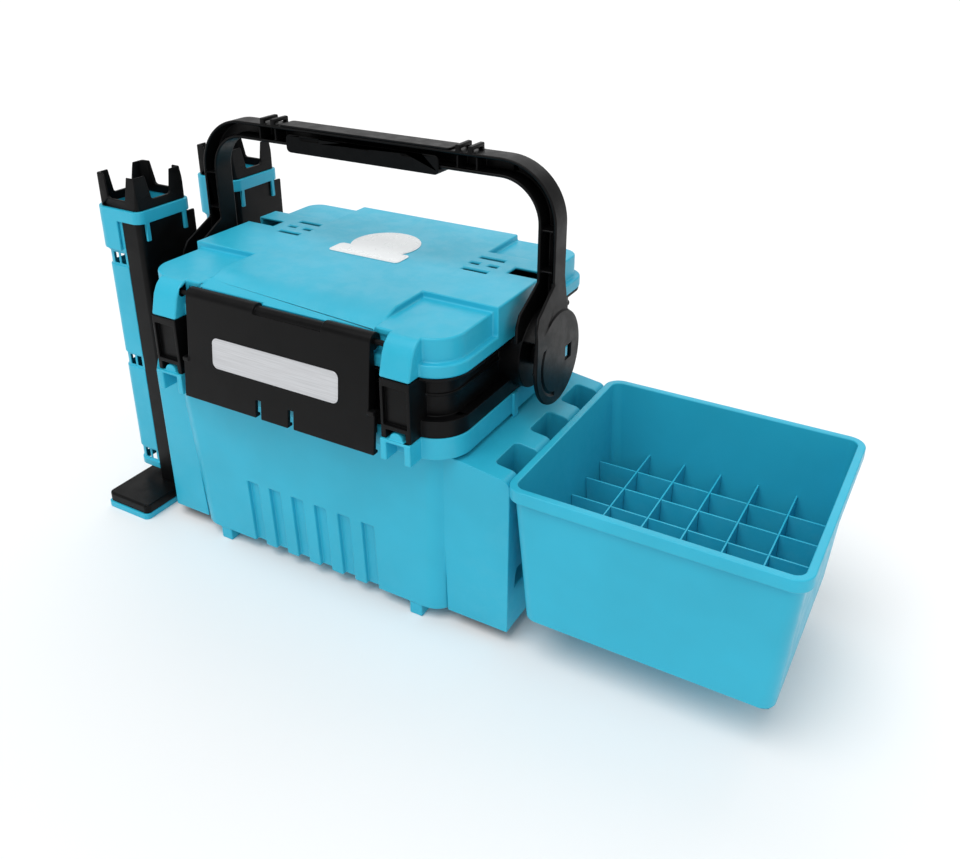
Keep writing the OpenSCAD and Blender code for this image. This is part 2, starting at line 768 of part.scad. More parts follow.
module front_latch() {
    upper_x = latch_w / 2 - latch_neck;
    wide_z = latch_low_z + latch_wide_h;
    clip = 5;
    side_y = latch_y - 2;
    color(black) place() difference() {
        union() {
            // The leaning plate: a narrower upper part and a wide lower part
            profile_x(-upper_x, upper_x)
                polygon([[plate_y(wide_z), wide_z], [plate_y(wide_z) + latch_t, wide_z],
                    [latch_top_y + latch_t, latch_z], [latch_top_y, latch_z]]);
            profile_x(-latch_w / 2, latch_w / 2)
                polygon([[latch_low_y, latch_low_z], [latch_low_y + latch_t, latch_low_z],
                    [plate_y(wide_z) + latch_t, wide_z], [plate_y(wide_z), wide_z]]);
            rod_x(-upper_x, waist_x0, latch_y, latch_z, curl_r);
            rod_x(waist_x1, upper_x, latch_y, latch_z, curl_r);
            rod_x(waist_x0 - 1, waist_x1 + 1, latch_y, latch_z, waist_r);
            box(waist_x0 - 1, waist_x1 + 1, latch_top_y, latch_y, latch_z - waist_r, latch_z);
            both_ends() {
                // Side returns, and the clips at the lower part's upper corners
                profile_x(upper_x - latch_t, upper_x)
                    polygon([[plate_y(latch_low_z + 14) + 1, latch_low_z + 14], [side_y,
                        latch_low_z + 14],
                        [side_y, latch_z], [latch_top_y + 1, latch_z]]);
                box(upper_x - 1, latch_w / 2, plate_y(wide_z) - 1.5, plate_y(wide_z) + clip,
                    wide_z - 1, wide_z + 3);
            }
            // Step along the lower edge
            box(-latch_w / 2, latch_w / 2, latch_low_y + latch_t - 0.5, latch_low_y + latch_t + 3,
                latch_low_z, latch_low_z + 3);
        }
        rod_x(-latch_w, latch_w, latch_y, latch_z, latch_pin_r + pin_fit);
        both_ends() box(slit_x - slit_w / 2, slit_x + slit_w / 2, latch_low_y - 1,
            latch_low_y + latch_t + 4,
            latch_low_z - 1, latch_low_z + slit_h);
    }
}

module latch_label() {
    mid_z = rim_z + 34;
    lean = atan2(latch_top_y - latch_low_y, latch_z - latch_low_z);
    color("silver") place() translate([0, plate_y(mid_z), mid_z])
        rotate([90 - lean, 0, 0]) linear_extrude(label_t) round_rect(label_w, label_h, 6);
}

// The handle's bow in the X-Z plane, drawn in from its outer edge
module bow(inset) {
    h = 2 * (bail_h - inset);
    intersection() {
        translate([0, pivot_z]) round_rect(2 * (arm_x - inset), h, bail_r - inset);
        translate([-2 * arm_x, pivot_z]) square([4 * arm_x, 2 * bail_h]);
    }
}

// The arm's foot, seen from the side: it flares forward to the disc
module flank_side(grow) {
    front = pivot_y - disc_r;
    flank_z = pivot_z + 90;
    polygon([[front - grow, pivot_z], [arm_back_y - 2 * grow, pivot_z], [arm_back_y - 2 * grow,
        flank_z + grow],
        [arm_front_y - grow, flank_z + grow], [arm_front_y - grow, pivot_z + 71],
            [front + 6 - grow, pivot_z + 52],
        [front - grow, pivot_z + 42]]);
}

// The arm's foot, seen from the front: it widens to the disc, drawn in by a wall
module flank_front(t) {
    flank_z = pivot_z + 91;
    x1 = disc_x + disc_t - t;
    polygon([[disc_x + t, pivot_z], [x1, pivot_z], [x1, pivot_z + 34], [arm_x - t, pivot_z + 74],
        [arm_x - t, flank_z + t], [disc_x + t, flank_z + t]]);
}

module handle_flank() {
    y0 = pivot_y - disc_r - 2;
    difference() {
        intersection() {
            profile_x(disc_x, disc_x + disc_t) flank_side(0);
            profile_y(y0, arm_back_y + 1) flank_front(0);
        }
        intersection() {
            profile_x(disc_x, disc_x + disc_t) flank_side(2);
            profile_y(y0 - 2, arm_back_y) flank_front(channel_t);
        }
    }
}

module handle_disc() { rod_x(disc_x, disc_x + disc_t, pivot_y, pivot_z, disc_r); }

// One rope loop across the top of the handle
module loop() {
    mid_y = (arm_front_y + arm_back_y) / 2;
    difference() {
        box(0, loop_t, arm_front_y, arm_back_y, bail_z - 1, bail_z + loop_h);
        box(-1, loop_t + 1, arm_front_y + 4, arm_back_y - 4, bail_z - 2, bail_z + loop_h - 3.5);
        for (s = [-1, 1]) translate([-1, mid_y + s * arm_d / 2, bail_z + loop_h])
            rotate([45, 0, 0]) cube([loop_t + 2, 5, 5], center = false);
    }
}

module handle() {
    rib_t = 2;
    rib_z = [pivot_z + 80, pivot_z + 118];
    rib_x = [grip_w / 2 + 16, grip_w / 2 + 36];
    rib_back = arm_front_y + channel_d + 1;
    hub_r = pin_r + 4;
    face_t = 4;
    color(black) place() difference() {
        union() {
            difference() {
                profile_y(arm_front_y, arm_back_y) difference() { bow(0); bow(arm_w); }
                profile_y(arm_front_y - 1, arm_front_y + channel_d)
                    difference() { bow(channel_t); bow(arm_w - channel_t); }
            }
            both_ends() {
                handle_flank();
                handle_disc();
                for (z = rib_z) box(disc_x + 1, arm_x - 1, arm_front_y + 2, rib_back, z, z + rib_t);
                for (x = rib_x) box(x, x + rib_t, arm_front_y + 2, rib_back, bail_z - arm_w + 1,
                    bail_z - 1);
                for (i = [0, 1]) translate([loop_x + i * loop_pitch, 0, 0]) loop();
            }
        }
        both_ends() {
            // The disc is hollow toward the box, but for its hub, and its lower edge is open
            difference() {
                union() {
                    rod_x(disc_x - 1, disc_x + disc_t - face_t, pivot_y, pivot_z, disc_r - channel_t);
                    box(disc_x - 1, disc_x + disc_t - face_t, pivot_y - disc_r - 1,
                        pivot_y + disc_r + 1,
                        pivot_z - disc_r - 1, pivot_z + 26);
                }
                rod_x(disc_x - 2, disc_x + disc_t, pivot_y, pivot_z, hub_r);
            }
            rod_x(disc_x - 1, disc_x + pin_bite + 1, pivot_y, pivot_z, pin_r + pin_fit);
            // Square hole and curved groove in the disc's face
            box(disc_x + disc_t - 8, disc_x + disc_t + 1, pivot_y + 15, pivot_y + 26, pivot_z - 9,
                pivot_z + 5);
            intersection() {
                difference() {
                    rod_x(disc_x + disc_t - 1.5, disc_x + disc_t + 1, pivot_y, pivot_z, disc_r - 9);
                    rod_x(disc_x + disc_t - 3, disc_x + disc_t + 2, pivot_y, pivot_z, disc_r - 12);
                }
                box(disc_x, disc_x + disc_t + 2, pivot_y - disc_r, pivot_y - 8, pivot_z - disc_r,
                    pivot_z + 18);
            }
        }
    }
}

module handle_grip() {
    bar_z = bail_z - arm_w;
    front = arm_front_y;
    slot_z = bar_z + 8;
    color(black) place() difference() {
        profile_y(front - grip_out, front + arm_d + grip_out)
            translate([0, bar_z - grip_t + arm_w / 2]) round_rect(grip_w, arm_w, 5);
        box(-grip_w, grip_w, front - 0.2, front + arm_d + 0.2, bar_z - 0.2, bail_z);
        for (x = [-grip_w / 3, 0, grip_w / 3])
            box(x - 11, x + 11, front - grip_out - 1, front - grip_out + 1.2, slot_z, slot_z + 3);
    }
}

module handle_cap() {
    color(black) place() slab(bail_z, cap_t)
        translate([0, (arm_front_y + arm_back_y) / 2]) round_rect(cap_w, arm_d, 4);
}

// Rod holder pieces, drawn with the wing side at x = 0, outward along -X and the front at y = 0
module at_holder(y) { place() translate([-hang_x, y, 0]) children(); }

// The holder's outline in plan, drawn in by a wall
module holder_plan(t) {
    outer = holder_r - t;
    inner = holder_in_r - t;
    corner_rect(-holder_d + t, -t, t, holder_w - t, [outer, inner, inner, outer]);
}

// A hook that drops into a wing's pocket, over its sill
module hook(y0, y1, reach) {
    z = sill_z + 0.2;
    box(-reach, hook_in + hook_t, y0, y1, z, z + hook_t);
    box(hook_in, hook_in + hook_t, y0, y1, z - hook_l, z + hook_t);
}

// Hooks for an accessory that spans y0 to y1: one in each pocket that it covers far enough
module hooks(y0, y1, reach, middle) {
    side = 2;
    for (i = [-1 : 1]) {
        mid = middle + i * pocket_pitch;
        a = max(y0, mid - pocket_l / 2) + side;
        b = min(y1, mid + pocket_l / 2) - side;
        if (b - a > hook_w - 2) translate([0, (a + b) / 2, 0]) hook(-hook_w / 2, hook_w / 2, reach);
    }
}

module holder_back(y) {
    shoulder_z = collar_z - 70;
    difference() {
        slab(foot_top, collar_z - foot_top) holder_plan(0);
        slab(foot_top + wall, collar_z) holder_plan(wall);
        box(-holder_d - 1, -back_d, -1, holder_w + 1, 0, collar_z + 1);
    }
    box(-wall, 0, holder_w - holder_in_r - 1, holder_w + 8, shoulder_z, collar_z - 2);
    translate([0, -y, 0]) hooks(y, y + holder_w, 1, left_pocket_y);
}

module holder_tube() {
    z0 = lattice_z - 8;
    split = back_d + 0.3;
    sunk = 1.5;
    edge = 2;
    difference() {
        slab(z0, collar_z - z0) holder_plan(0);
        slab(z0 - 1, collar_z) holder_plan(wall);
        box(-split, 1, -1, holder_w + 1, 0, collar_z + 1);
        for (i = [0 : 2]) {
            z = lattice_z + i * lattice_pitch;
            // A sunk band with windows on the front, the outer side and the back
            slab(z, lattice_h) difference() { holder_plan(-1); holder_plan(sunk); }
            for (y = [0 : 2])
                box(-holder_d - 1, -holder_d + wall + 1, holder_r + y * 16, holder_r + y * 16 + 11,
                    z + edge, z + lattice_h - edge);
            for (x = [0, 1])
                box(-holder_d + holder_r + x * 10, -holder_d + holder_r + x * 10 + 7, -1, holder_w + 1,
                    z + edge, z + lattice_h - edge);
        }
    }
}

module holder_collar() {
    gap = 0.2;
    difference() {
        union() {
            slab(collar_z, collar_h) holder_plan(-collar_t);
            slab(collar_z - skirt_h, skirt_h + 1) difference() {
                holder_plan(-collar_t);
                translate([-back_d - 4, -holder_w]) square([holder_d * 2, 3 * holder_w]);
            }
        }
        slab(collar_z - skirt_h - 1, skirt_h + 1) holder_plan(-gap);
        slab(collar_z - 1, collar_h + 2) holder_plan(wall);
    }
    // Two clip tabs on the wing side
    for (y = [6, holder_w - 11]) box(gap, collar_t, y, y + 5, collar_z - 19, collar_z + 1);
}

module holder_crown() {
    z0 = collar_z + collar_h;
    z1 = z0 + crown_h;
    t = 4;
    notch_z = z0 + crown_ring;
    low = crown_gap / 2;
    high = low + crown_flare / 2;
    difference() {
        intersection() {
            slab(z0, crown_h) holder_plan(0);
            profile_y(-1, holder_w + 1) polygon([[-holder_d, z0], [0, z0], [-crown_lean, z1],
                [-holder_d + crown_lean, z1]]);
            profile_x(-holder_d - 1, 1) polygon([[0, z0], [holder_w, z0], [holder_w - crown_lean,
                z1], [crown_lean, z1]]);
        }
        slab(z0 - 1, crown_h + 2) holder_plan(t);
        // Gaps with a round foot between the four prongs
        translate([-holder_d / 2, holder_w / 2, notch_z]) for (a = [0, 90]) rotate([0, 0, a])
            profile_y(-holder_w, holder_w) {
                polygon([[-low + 4, 0], [low - 4, 0], [low, 4], [high, crown_h], [-high, crown_h],
                    [-low, 4]]);
                for (s = [-1, 1]) translate([s * (low - 4), 4]) circle(4);
            }
    }
}

module foot_plan(grow) {
    x0 = -holder_d + 2 - grow;
    x1 = 3;
    r = 6;
    translate([(x0 + x1) / 2, (holder_w - toe_l) / 2])
        round_rect(x1 - x0, holder_w + toe_l + 2 * grow, r);
}

module holder_foot() {
    chamfer = 2;
    difference() {
        slab(tray_t, plate_t) foot_plan(0);
        profile_x(-holder_d - 1, 6) polygon([[-toe_l - 1, foot_top - chamfer], [-toe_l + chamfer,
            foot_top],
            [-toe_l + chamfer, foot_top + 1], [-toe_l - 1, foot_top + 1]]);
    }
}

module holder_tray() {
    difference() {
        slab(0, tray_t) foot_plan(1.5);
        for (y = [-toe_l + 8, 8])
            box(-holder_d + 10, -4, y, y + holder_w / 2 + 8, -1, tray_t - 3);
    }
}

module front_holder_back() { color(black) at_holder(holder_front_y) holder_back(holder_front_y); }
module front_holder_tube() { color(blue) at_holder(holder_front_y) holder_tube(); }
module front_holder_collar() { color(blue) at_holder(holder_front_y) holder_collar(); }
module front_holder_crown() { color(black) at_holder(holder_front_y) holder_crown(); }
module front_holder_foot() { color(black) at_holder(holder_front_y) holder_foot(); }
module front_holder_tray() { color(blue) at_holder(holder_front_y) holder_tray(); }
module rear_holder_back() { color(black) at_holder(holder_rear_y) holder_back(holder_rear_y); }
module rear_holder_tube() { color(blue) at_holder(holder_rear_y) holder_tube(); }
module rear_holder_collar() { color(blue) at_holder(holder_rear_y) holder_collar(); }
module rear_holder_crown() { color(black) at_holder(holder_rear_y) holder_crown(); }
module rear_holder_foot() { color(black) at_holder(holder_rear_y) holder_foot(); }
module rear_holder_tray() { color(blue) at_holder(holder_rear_y) holder_tray(); }

// The jig box's leaning walls, drawn in by a wall
module jig_walls(t, z0, z1) {
    hull() {
        for (z = [z0, z1]) {
            lean = lip_out + t + jig_lean * (jig_z - z) / jig_h;
            slab(z, eps) translate([jig_x, jig_mid])
                round_rect(jig_w - 2 * lean, jig_d - 2 * lean, jig_r - lip_out - t);
        }
    }
}

module jig_box() {
    color(blue) place() difference() {
        union() {
            jig_walls(0, jig_floor, jig_z - eps);
            slab(jig_z - lip_h, lip_h) translate([jig_x, jig_mid]) round_rect(jig_w, jig_d, jig_r);
            translate([hang_x, 0, 0]) mirror([1, 0, 0])
                hooks(jig_y + jig_lean, jig_y + jig_d - jig_lean, lip_out + jig_lean, wing_shift);
        }
        jig_walls(wall, jig_floor + wall, jig_z + 1);
    }
}

// One strip of a half-lapped grid: it runs along X, stands on the box's floor and widens upward
module strip(length, pitch, n, slots_up) {
    z0 = jig_floor + wall + strip_gap;
    z1 = z0 + strip_h;
    mid_z = (z0 + z1) / 2;
    slot = strip_t + 2 * strip_gap;
    top = length + strip_grow;
    difference() {
        profile_y(-strip_t / 2, strip_t / 2)
            polygon([[-length / 2, z0], [length / 2, z0], [top / 2, z1], [-top / 2, z1]]);
        for (i = [1 : n - 1]) translate([(i - n / 2) * pitch, 0, 0])
            box(-slot / 2, slot / 2, -1, 1, slots_up ? mid_z - strip_gap : z0 - 1,
                slots_up ? z1 + 1 : mid_z + strip_gap);
    }
}

module cell_strips_long() {
    color(blue) place() translate([jig_x, jig_mid, 0])
        for (i = [1 : cells_y - 1]) translate([0, (i - cells_y / 2) * cell_py, 0])
            strip(cell_w, cell_px, cells_x, true);
}

module cell_strips_cross() {
    color(blue) place() translate([jig_x, jig_mid, 0])
        for (i = [1 : cells_x - 1]) translate([(i - cells_x / 2) * cell_px, 0, 0])
            rotate([0, 0, 90]) strip(cell_d, cell_py, cells_y, false);
}

module inner_tray() {
    lip_t = 2;
    z0 = ledge_z - itray_h;
    cell = (itray_w - itray_t) / itray_cells;
    color("whitesmoke") place() {
        difference() {
            union() {
                slab(z0, itray_h + lip_t) round_rect(itray_w, itray_d, itray_r);
                slab(ledge_z, lip_t)
                    round_rect(itray_w + 2 * itray_lip, itray_d + 2 * itray_lip, itray_r + itray_lip);
            }
            slab(z0 + itray_t, itray_h + lip_t)
                round_rect(itray_w - 2 * itray_t, itray_d - 2 * itray_t, itray_r - itray_t);
        }
        for (i = [1 : itray_cells - 1])
            box(-itray_w / 2 + i * cell, -itray_w / 2 + i * cell + itray_t, -itray_d / 2 + 1,
                itray_d / 2 - 1,
                z0 + 1, ledge_z - 4);
    }
}

tub();
mid_frame();
handle_pin_left();
handle_pin_right();
lid();
lid_seal();
lid_badge();
lid_hinge_pins();
latch_pin();
front_latch();
latch_label();
handle();
handle_grip();
handle_cap();
front_holder_back();
front_holder_tube();
front_holder_collar();
front_holder_crown();
front_holder_foot();
front_holder_tray();
rear_holder_back();
rear_holder_tube();
rear_holder_collar();
rear_holder_crown();
rear_holder_foot();
rear_holder_tray();
jig_box();
cell_strips_long();
cell_strips_cross();
inner_tray();
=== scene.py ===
"""Looks and studio for the fishing tackle cabinet, laid out as an add-on.

Every moulding is a merged, edge-rounded copy of its construction solid, so it sits exactly where
that solid sits. Sizes are in metres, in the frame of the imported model.
"""

import json
from math import cos, radians, sin

import bpy
from mathutils import Matrix, Vector

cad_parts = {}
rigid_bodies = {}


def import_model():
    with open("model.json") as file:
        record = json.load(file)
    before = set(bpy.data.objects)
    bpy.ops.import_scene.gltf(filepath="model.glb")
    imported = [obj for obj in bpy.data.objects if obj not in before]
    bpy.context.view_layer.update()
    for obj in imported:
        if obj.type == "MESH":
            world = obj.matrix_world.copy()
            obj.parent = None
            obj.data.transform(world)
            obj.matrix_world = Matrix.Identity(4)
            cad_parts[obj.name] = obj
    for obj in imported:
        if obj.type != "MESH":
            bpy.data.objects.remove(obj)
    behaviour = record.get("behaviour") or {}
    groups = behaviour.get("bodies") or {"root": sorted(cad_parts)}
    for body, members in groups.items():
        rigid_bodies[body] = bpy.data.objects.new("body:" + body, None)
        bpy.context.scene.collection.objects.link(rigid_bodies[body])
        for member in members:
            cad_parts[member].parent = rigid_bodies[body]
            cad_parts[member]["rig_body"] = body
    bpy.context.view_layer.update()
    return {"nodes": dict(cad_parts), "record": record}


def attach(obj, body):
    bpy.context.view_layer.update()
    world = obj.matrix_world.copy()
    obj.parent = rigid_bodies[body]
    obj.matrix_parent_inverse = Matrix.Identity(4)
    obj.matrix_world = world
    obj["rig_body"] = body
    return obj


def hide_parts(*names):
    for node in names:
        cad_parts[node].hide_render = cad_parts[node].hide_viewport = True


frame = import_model()

bl_info = {
    "name": "Fishing Tackle Cabinet",
    "version": (1, 0, 0),
    "blender": (4, 5, 0),
    "location": "View3D > Sidebar > Cabinet",
    "description": "Finishes and studio for a tackle box with rod holders and a jig box",
    "category": "Object",
}

MM = 0.001
# Ending of a finish's name, which keeps it apart from the plain material of its slot
FINISH = "_finish"
# Edges that turn by more than this are rounded
EDGE_TURN = radians(32.0)
# Corners of the same face or edge that lie closer than this are merged, and faces that turn by
# less than this are joined
MERGE_REACH = 0.02 * MM
FLAT_TURN = radians(0.4)
# Share of an edge's rounding that a vertex may lie off the solid
STRAY_SHARE = 0.45
# Upward part of a face's normal, beyond which it is a top, or below which an underside
FACES_UP = 0.5
# Share of the rectangle round it below which a face counts as a frame
FRAME_SHARE = 0.5
# The bare plates' raised borders, and the ways the plates face
BADGE_BORDER = 2.2 * MM
LABEL_BORDER = 1.6 * MM
PLATE_SINK = 0.35 * MM
UPWARD = (0.0, 0.0, 1.0)
FORWARD = (0.0, -1.0, 0.0)


# Finishes ------------------------------------------------------------------------------------

def colour_prop(label, text, value):
    return bpy.props.FloatVectorProperty(
        name=label, description=text, subtype="COLOR", size=3, min=0.0, max=1.0, default=value)


def length_prop(label, text, value):
    return bpy.props.FloatProperty(
        name=label, description=text, default=value, min=0.0, unit="LENGTH", subtype="DISTANCE")


class CabinetColours(bpy.types.PropertyGroup):
    """Colours of the cabinet's plastics and metals"""
    blue: colour_prop("Blue plastic", "Tub, lid, jig box and the rod holders' outer channels",
                      (0.026, 0.445, 0.630))
    black: colour_prop("Black plastic", "Mid frame, latch, handle and the holders' back channels",
                       (0.0030, 0.0030, 0.0032))
    grip: colour_prop("Grip", "Matte grip under the handle's bar", (0.0028, 0.0028, 0.0030))
    tray: colour_prop("Tray", "Lift-out tray under the lid", (0.72, 0.75, 0.77))
    badge: colour_prop("Badge", "Bare round plate on the lid", (0.80, 0.83, 0.84))
    plate: colour_prop("Plate", "Bare plate on the latch", (0.60, 0.61, 0.63))
    steel: colour_prop("Steel", "Hinge pins", (0.52, 0.53, 0.54))
    rubber: colour_prop("Seal", "Rubber seal under the lid", (0.20, 0.20, 0.21))


class CabinetSizes(bpy.types.PropertyGroup):
    """Edge roundings and surface grain of the cabinet"""
    shell_edge: length_prop("Shell edges", "Rounding of the tub's and jig box's edges", 1.2 * MM)
    lid_edge: length_prop("Lid edges", "Rounding of the lid's edges", 2.0 * MM)
    frame_edge: length_prop("Frame edges", "Rounding of the black frame's edges", 0.8 * MM)
    handle_edge: length_prop("Handle edges", "Rounding of the handle's edges", 1.2 * MM)
    trim_edge: length_prop("Trim edges", "Rounding of thin parts' edges", 0.3 * MM)
    grain: length_prop("Grain", "Size of the moulded surface's grain", 0.5 * MM)


# Shader groups -------------------------------------------------------------------------------

def new_group(name, inputs, outputs):
    """A shader node group with its named sockets, and its input and output nodes."""
    tree = bpy.data.node_groups.new(name, "ShaderNodeTree")
    for label, kind, value in inputs:
        socket = tree.interface.new_socket(name=label, in_out="INPUT", socket_type=kind)
        if value is not None:
            socket.default_value = value
    for label, kind in outputs:
        tree.interface.new_socket(name=label, in_out="OUTPUT", socket_type=kind)
    enter = tree.nodes.new("NodeGroupInput")
    leave = tree.nodes.new("NodeGroupOutput")
    enter.location = (-900, 0)
    leave.location = (700, 0)
    return tree, enter, leave


def node_of(tree, kind, place, **values):
    """A node at a place in the tree, with attributes or input values by name."""
    node = tree.nodes.new(kind)
    node.location = place
    for key, value in values.items():
        if hasattr(node, key):
            setattr(node, key, value)
        else:
            node.inputs[key.replace("_", " ")].default_value = value
    return node


def noise_at(tree, place, scale, detail, rough=0.5):
    node = node_of(tree, "ShaderNodeTexNoise", place)
    node.inputs["Scale"].default_value = scale
    node.inputs["Detail"].default_value = detail
    node.inputs["Roughness"].default_value = rough
    return node


def ramp_between(tree, place, low, high, to_low=0.0, to_high=1.0):
    node = tree.nodes.new("ShaderNodeMapRange")
    node.location = place
    node.interpolation_type = "SMOOTHSTEP"
    node.inputs["From Min"].default_value = low
    node.inputs["From Max"].default_value = high
    node.inputs["To Min"].default_value = to_low
    node.inputs["To Max"].default_value = to_high
    return node


def moulded_skin_group():
    """Fine grain, slow colour drift and flow marks of an injection moulding."""
    tree, enter, leave = new_group(
        "Moulded Skin",
        [("Coordinates", "NodeSocketVector", None),
         ("Colour", "NodeSocketColor", (0.5, 0.5, 0.5, 1.0)),
         ("Grain Scale", "NodeSocketFloat", 2000.0),
         ("Roughness", "NodeSocketFloat", 0.4),
         ("Drift", "NodeSocketFloat", 0.08)],
        [("Colour", "NodeSocketColor"),
         ("Roughness", "NodeSocketFloat"),
         ("Height", "NodeSocketFloat")])
    links = tree.links
    grain = noise_at(tree, (-650, 250), 2000.0, 2.0, 0.6)
    links.new(enter.outputs["Coordinates"], grain.inputs["Vector"])
    links.new(enter.outputs["Grain Scale"], grain.inputs["Scale"])
    drift = noise_at(tree, (-650, 0), 9.0, 3.0, 0.55)
    links.new(enter.outputs["Coordinates"], drift.inputs["Vector"])
    flow = noise_at(tree, (-650, -250), 60.0, 4.0, 0.65)
    links.new(enter.outputs["Coordinates"], flow.inputs["Vector"])

    spread = ramp_between(tree, (-400, 0), 0.3, 0.7, -1.0, 1.0)
    links.new(drift.outputs["Fac"], spread.inputs["Value"])
    amount = node_of(tree, "ShaderNodeMath", (-200, 0), operation="MULTIPLY")
    links.new(spread.outputs["Result"], amount.inputs[0])
    links.new(enter.outputs["Drift"], amount.inputs[1])
    lift = node_of(tree, "ShaderNodeMath", (0, 0), operation="ADD")
    lift.inputs[1].default_value = 1.0
    links.new(amount.outputs["Value"], lift.inputs[0])
    tint = node_of(tree, "ShaderNodeVectorMath", (200, 100), operation="SCALE")
    links.new(enter.outputs["Colour"], tint.inputs[0])
    links.new(lift.outputs["Value"], tint.inputs["Scale"])
    links.new(tint.outputs["Vector"], leave.inputs["Colour"])

    polish = ramp_between(tree, (-400, -250), 0.35, 0.65, -0.06, 0.06)
    links.new(flow.outputs["Fac"], polish.inputs["Value"])
    rough = node_of(tree, "ShaderNodeMath", (200, -150), operation="ADD")
    links.new(polish.outputs["Result"], rough.inputs[0])
    links.new(enter.outputs["Roughness"], rough.inputs[1])
    links.new(rough.outputs["Value"], leave.inputs["Roughness"])
    links.new(grain.outputs["Fac"], leave.inputs["Height"])
    return tree


def handling_marks_group():
    """Fine scratches and rubbed edges, as a mask between 0 and 1."""
    tree, enter, leave = new_group(
        "Handling Marks",
        [("Coordinates", "NodeSocketVector", None),
         ("Edge", "NodeSocketFloat", 0.5),
         ("Amount", "NodeSocketFloat", 0.3)],
        [("Mask", "NodeSocketFloat"), ("Scratches", "NodeSocketFloat")])
    links = tree.links
    stretch = node_of(tree, "ShaderNodeMapping", (-650, 200))
    stretch.inputs["Rotation"].default_value = (0.4, 0.9, 0.7)
    stretch.inputs["Scale"].default_value = (30.0, 900.0, 900.0)
    links.new(enter.outputs["Coordinates"], stretch.inputs["Vector"])
    lines = noise_at(tree, (-450, 200), 1.0, 1.0)
    links.new(stretch.outputs["Vector"], lines.inputs["Vector"])
    thin = ramp_between(tree, (-250, 200), 0.70, 0.76)
    links.new(lines.outputs["Fac"], thin.inputs["Value"])
    links.new(thin.outputs["Result"], leave.inputs["Scratches"])

    patches = noise_at(tree, (-650, -100), 55.0, 4.0, 0.7)
    links.new(enter.outputs["Coordinates"], patches.inputs["Vector"])
    where = ramp_between(tree, (-450, -100), 0.42, 0.62)
    links.new(patches.outputs["Fac"], where.inputs["Value"])
    sharp = ramp_between(tree, (-450, -300), 0.515, 0.60)
    links.new(enter.outputs["Edge"], sharp.inputs["Value"])
    both = node_of(tree, "ShaderNodeMath", (-200, -200), operation="MULTIPLY")
    links.new(where.outputs["Result"], both.inputs[0])
    links.new(sharp.outputs["Result"], both.inputs[1])
    scaled = node_of(tree, "ShaderNodeMath", (0, -200), operation="MULTIPLY")
    links.new(both.outputs["Value"], scaled.inputs[0])
    links.new(enter.outputs["Amount"], scaled.inputs[1])
    links.new(scaled.outputs["Value"], leave.inputs["Mask"])
    return tree


def moulded_material(name, colour, worn_colour, roughness, gloss, drift, wear, grain, bump):
    """An injection-moulded plastic: grain, colour drift, scratches and rubbed edges."""
    material = bpy.data.materials.new(name + FINISH)
    material.use_nodes = True
    tree = material.node_tree
    links = tree.links
    shader = tree.nodes["Principled BSDF"]
    shader.inputs["Specular IOR Level"].default_value = gloss
    coords = node_of(tree, "ShaderNodeTexCoord", (-1200, 0))
    shape = node_of(tree, "ShaderNodeNewGeometry", (-1200, -300))
    skin = node_of(tree, "ShaderNodeGroup", (-850, 100))
    skin.node_tree = bpy.data.node_groups["Moulded Skin"]
    skin.inputs["Colour"].default_value = (*colour, 1.0)
    skin.inputs["Grain Scale"].default_value = 1.0 / grain
    skin.inputs["Roughness"].default_value = roughness
    skin.inputs["Drift"].default_value = drift
    marks = node_of(tree, "ShaderNodeGroup", (-850, -250))
    marks.node_tree = bpy.data.node_groups["Handling Marks"]
    marks.inputs["Amount"].default_value = wear
    links.new(coords.outputs["Object"], skin.inputs["Coordinates"])
    links.new(coords.outputs["Object"], marks.inputs["Coordinates"])
    links.new(shape.outputs["Pointiness"], marks.inputs["Edge"])

    blend = node_of(tree, "ShaderNodeMix", (-450, 150), data_type="RGBA")
    fresh, worn = [socket for socket in blend.inputs if socket.type == "RGBA"]
    mixed = next(socket for socket in blend.outputs if socket.type == "RGBA")
    worn.default_value = (*worn_colour, 1.0)
    links.new(skin.outputs["Colour"], fresh)
    links.new(marks.outputs["Mask"], blend.inputs["Factor"])
    links.new(mixed, shader.inputs["Base Color"])

    rubbed = node_of(tree, "ShaderNodeMath", (-450, -100), operation="MULTIPLY_ADD")
    rubbed.inputs[1].default_value = 0.05
    links.new(marks.outputs["Scratches"], rubbed.inputs[0])
    links.new(skin.outputs["Roughness"], rubbed.inputs[2])
    links.new(rubbed.outputs["Value"], shader.inputs["Roughness"])

    relief = node_of(tree, "ShaderNodeBump", (-250, -300))
    relief.inputs["Strength"].default_value = bump
    relief.inputs["Distance"].default_value = 0.15 * MM
    links.new(skin.outputs["Height"], relief.inputs["Height"])
    links.new(relief.outputs["Normal"], shader.inputs["Normal"])
    return material


